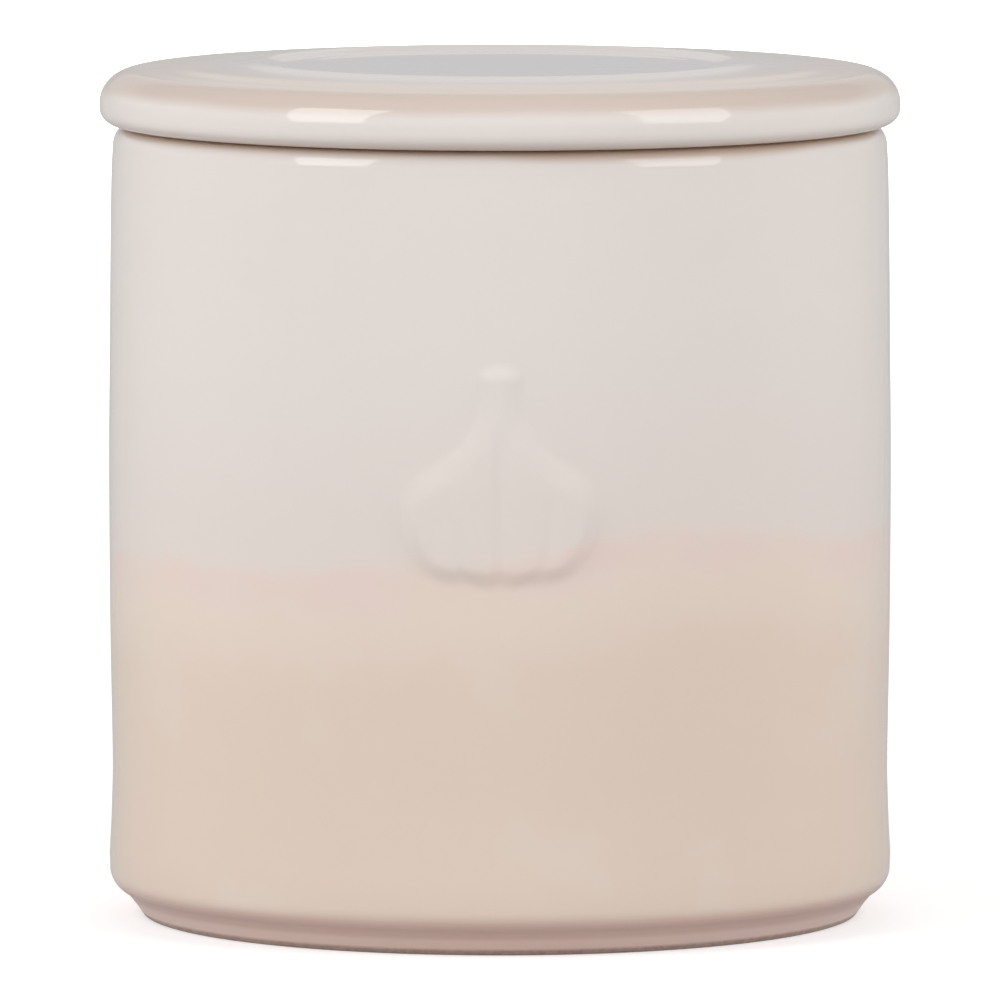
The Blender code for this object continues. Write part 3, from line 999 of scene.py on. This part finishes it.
class StudioSettings(PropertyGroup):
    camera_distance: length_setting("Distance", "From the camera to the keeper", 2.2805)
    camera_rise: angle_setting("Rise", "Angle of the camera above level", 5.5)
    aim_height: length_setting("Aim", "Height that the camera looks at", 0.06235)
    lens: FloatProperty(name="Lens", description="Focal length in millimetres", default=545.0)
    left_level: FloatProperty(name="Left softbox", description="Its brightness", default=3.3)
    left_turn: angle_setting("Left turn", "Angle of the left softbox from the front", 55.5)
    left_rise: angle_setting("Left rise", "Angle of the left softbox above level", 37)
    right_level: FloatProperty(name="Right softbox", description="Its brightness", default=2.45)
    right_turn: angle_setting("Right turn", "Angle of the right softbox from the front", 58.5)
    right_rise: angle_setting("Right rise", "Angle of the right softbox above level", 34)
    softbox_roll: angle_setting("Softbox roll", "How far their tops lean away from the front", 14)
    left_fill: FloatProperty(name="Left fill", description="Soft fill at the left", default=1.86)
    right_fill: FloatProperty(name="Right fill", description="Soft fill at the right", default=1.54)
    back_fill: FloatProperty(name="Back fill", description="Soft fill behind", default=3.8)
    floor_radius: length_setting("Floor radius", "Radius of the floor", 6.0)
    floor_fill: FloatProperty(name="Floor fill", description="White added near the keeper", default=0.50)
    floor_colour: colour_setting("Floor", "Paint on the floor", 209, 209, 209)
    card_colour: colour_setting("Edge card", "Grey that the pale sides reflect", 192, 191, 190)
    card_radius: length_setting("Card radius", "Radius of the dish round the keeper", 0.20)
    card_height: length_setting("Card height", "Height of the dish", 0.135)
    horizon: colour_setting("Horizon", "Light from the sides", 191, 190, 192)
    low_sky: colour_setting("Low sky", "Light from a little above the horizon", 210, 209, 209)
    overhead: colour_setting("Overhead", "Light from above", 188, 187, 187)


class GARLIC_KEEPER_OT_make_jar(Operator):
    """Make the jar with its foot, lip, raised bulb and vent holes"""

    bl_idname = "garlic_keeper.make_jar"
    bl_label = "Make the jar"

    def execute(self, context):
        jar = context.scene.keeper_jar
        work = bmesh.new()
        outline, angles = jar_outline(jar), jar_angles(jar.radius)
        rings = turned_rings(work, outline, angles)
        raise_bulb(jar, outline, rings, angles)
        taken = set()
        for x, z in vent_places():
            taken |= cut_vent(work, jar, outline, rings, angles, x, z)
        skin(work, rings, taken)
        unused = [vertex for vertex in work.verts if not vertex.link_faces]
        bmesh.ops.delete(work, geom=unused, context="VERTS")
        material = jar_glaze(context.scene.keeper_glaze, jar)
        finish_piece("stoneware_jar", work, material, "jar")
        return {"FINISHED"}


class GARLIC_KEEPER_OT_make_lid(Operator):
    """Make the lid with its rings, rounded rim and collar"""

    bl_idname = "garlic_keeper.make_lid"
    bl_label = "Make the lid"

    def execute(self, context):
        lid = context.scene.keeper_lid
        work = bmesh.new()
        count = round(2 * math.pi / TURN_STEP)
        angles = [2 * math.pi * step / count for step in range(count)]
        skin(work, turned_rings(work, lid_outline(lid), angles))
        material = lid_glaze(context.scene.keeper_glaze, lid)
        finish_piece("stoneware_lid", work, material, "lid")
        return {"FINISHED"}


class GARLIC_KEEPER_OT_make_studio(Operator):
    """Make the floor, the lights and the camera"""

    bl_idname = "garlic_keeper.make_studio"
    bl_label = "Make the studio"

    def execute(self, context):
        studio = context.scene.keeper_studio
        target = (0.0, 0.0, studio.aim_height)
        make_floor(studio)
        make_edge_card(studio)
        left = make_lamp("softbox_left", studio.left_level, LEFT_SOFTBOX_SIZE)
        aim(left, target, -studio.left_turn, studio.left_rise, SOFTBOX_AWAY, studio.softbox_roll)
        right = make_lamp("softbox_right", studio.right_level, RIGHT_SOFTBOX_SIZE)
        aim(right, target, studio.right_turn, studio.right_rise, SOFTBOX_AWAY, -studio.softbox_roll)
        fills = (
            ("left", -FILL_TURN, studio.left_fill),
            ("right", FILL_TURN, studio.right_fill),
            ("back", math.pi, studio.back_fill),
        )
        for side, turn, level in fills:
            fill = make_lamp("fill_" + side, level, FILL_SIZE, mirrored=False)
            aim(fill, target, turn, FILL_RISE, FILL_AWAY)
        make_sky(studio)
        make_camera(studio)
        context.scene.view_settings.view_transform = "Standard"
        return {"FINISHED"}


class GARLIC_KEEPER_PT_main(Panel):
    """Sizes, glazes and studio of the garlic keeper"""

    bl_idname = "GARLIC_KEEPER_PT_main"
    bl_label = "Garlic keeper"
    bl_space_type = "VIEW_3D"
    bl_region_type = "UI"
    bl_category = "Garlic keeper"

    def draw(self, context):
        scene = context.scene
        groups = (
            (scene.keeper_jar, GARLIC_KEEPER_OT_make_jar),
            (scene.keeper_lid, GARLIC_KEEPER_OT_make_lid),
            (scene.keeper_glaze, None),
            (scene.keeper_studio, GARLIC_KEEPER_OT_make_studio),
        )
        for settings, operator in groups:
            box = self.layout.box()
            for setting in settings.__annotations__:
                box.prop(settings, setting)
            if operator:
                box.operator(operator.bl_idname)


GROUPS = {
    "keeper_jar": JarSettings,
    "keeper_lid": LidSettings,
    "keeper_glaze": GlazeSettings,
    "keeper_studio": StudioSettings,
}
CLASSES = (
    *GROUPS.values(),
    GARLIC_KEEPER_OT_make_jar,
    GARLIC_KEEPER_OT_make_lid,
    GARLIC_KEEPER_OT_make_studio,
    GARLIC_KEEPER_PT_main,
)


def register():
    for made in CLASSES:
        bpy.utils.register_class(made)
    for name, group in GROUPS.items():
        setattr(bpy.types.Scene, name, PointerProperty(type=group))


def unregister():
    for name in GROUPS:
        delattr(bpy.types.Scene, name)
    for made in reversed(CLASSES):
        bpy.utils.unregister_class(made)


def main():
    register()
    bpy.ops.garlic_keeper.make_jar()
    bpy.ops.garlic_keeper.make_lid()
    bpy.ops.garlic_keeper.make_studio()


if __name__ == "__main__":
    main()
